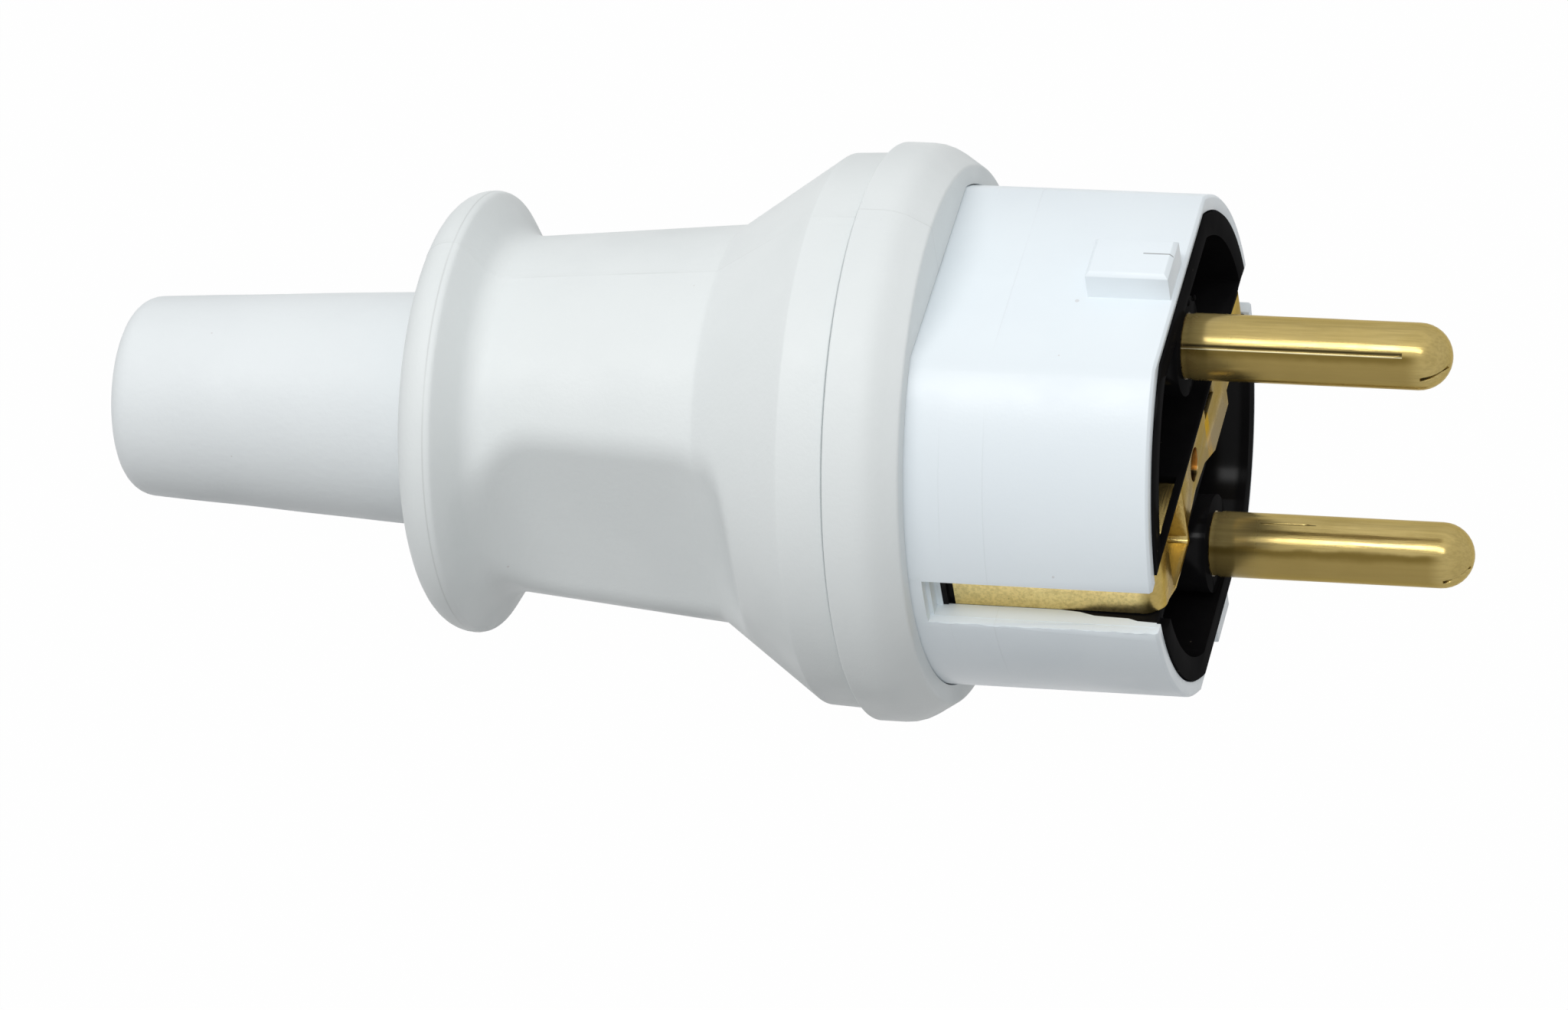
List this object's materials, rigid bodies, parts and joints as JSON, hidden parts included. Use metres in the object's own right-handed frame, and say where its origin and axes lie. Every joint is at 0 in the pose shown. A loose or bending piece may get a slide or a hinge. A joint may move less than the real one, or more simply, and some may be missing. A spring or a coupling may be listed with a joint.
{
  "type": "type f plug",
  "caption": "Rewireable straight mains plug with round pins, side earth strap, a hole for an earth pin, a finger grip and a tapered cable sleeve.",
  "frame": {"origin": "centre of the front rim plane, midway between the pins", "axes": "+X along the axis towards the pin tips, +Z through both pins, +Y through both earth slots, away from the hole for the earth pin"},
  "size_m": [0.1003, 0.0421, 0.042],
  "materials": {
    "grip_white": "soft white moulding",
    "sleeve_white": "soft white moulding, slightly cooler",
    "shell_white": "hard white moulding, slightly cooler",
    "carrier_black": "hard black moulding",
    "pin_brass": "rolled brass with stains",
    "strap_brass": "bent brass sheet",
    "steel": "plated steel",
    "clamp_plastic": "plain white moulding"
  },
  "bodies": {
    "root": {"grip_body": "grip_white", "cable_sleeve": "sleeve_white", "front_shell": "shell_white", "contact_carrier": "carrier_black", "line_pin": "pin_brass", "neutral_pin": "pin_brass", "earth_strap": "strap_brass", "earth_socket_clip": "strap_brass", "line_wire_washer": "steel", "line_terminal_screw": "steel", "neutral_wire_washer": "steel", "neutral_terminal_screw": "steel", "earth_wire_washer": "steel", "earth_terminal_screw": "steel", "earth_terminal_nut": "steel", "cable_clamp_bar": "clamp_plastic", "cable_clamp_screw_left": "steel", "cable_clamp_nut_left": "steel", "cable_clamp_screw_right": "steel", "cable_clamp_nut_right": "steel", "carrier_screw_upper": "steel", "carrier_screw_lower": "steel"}
  },
  "joints": []
}
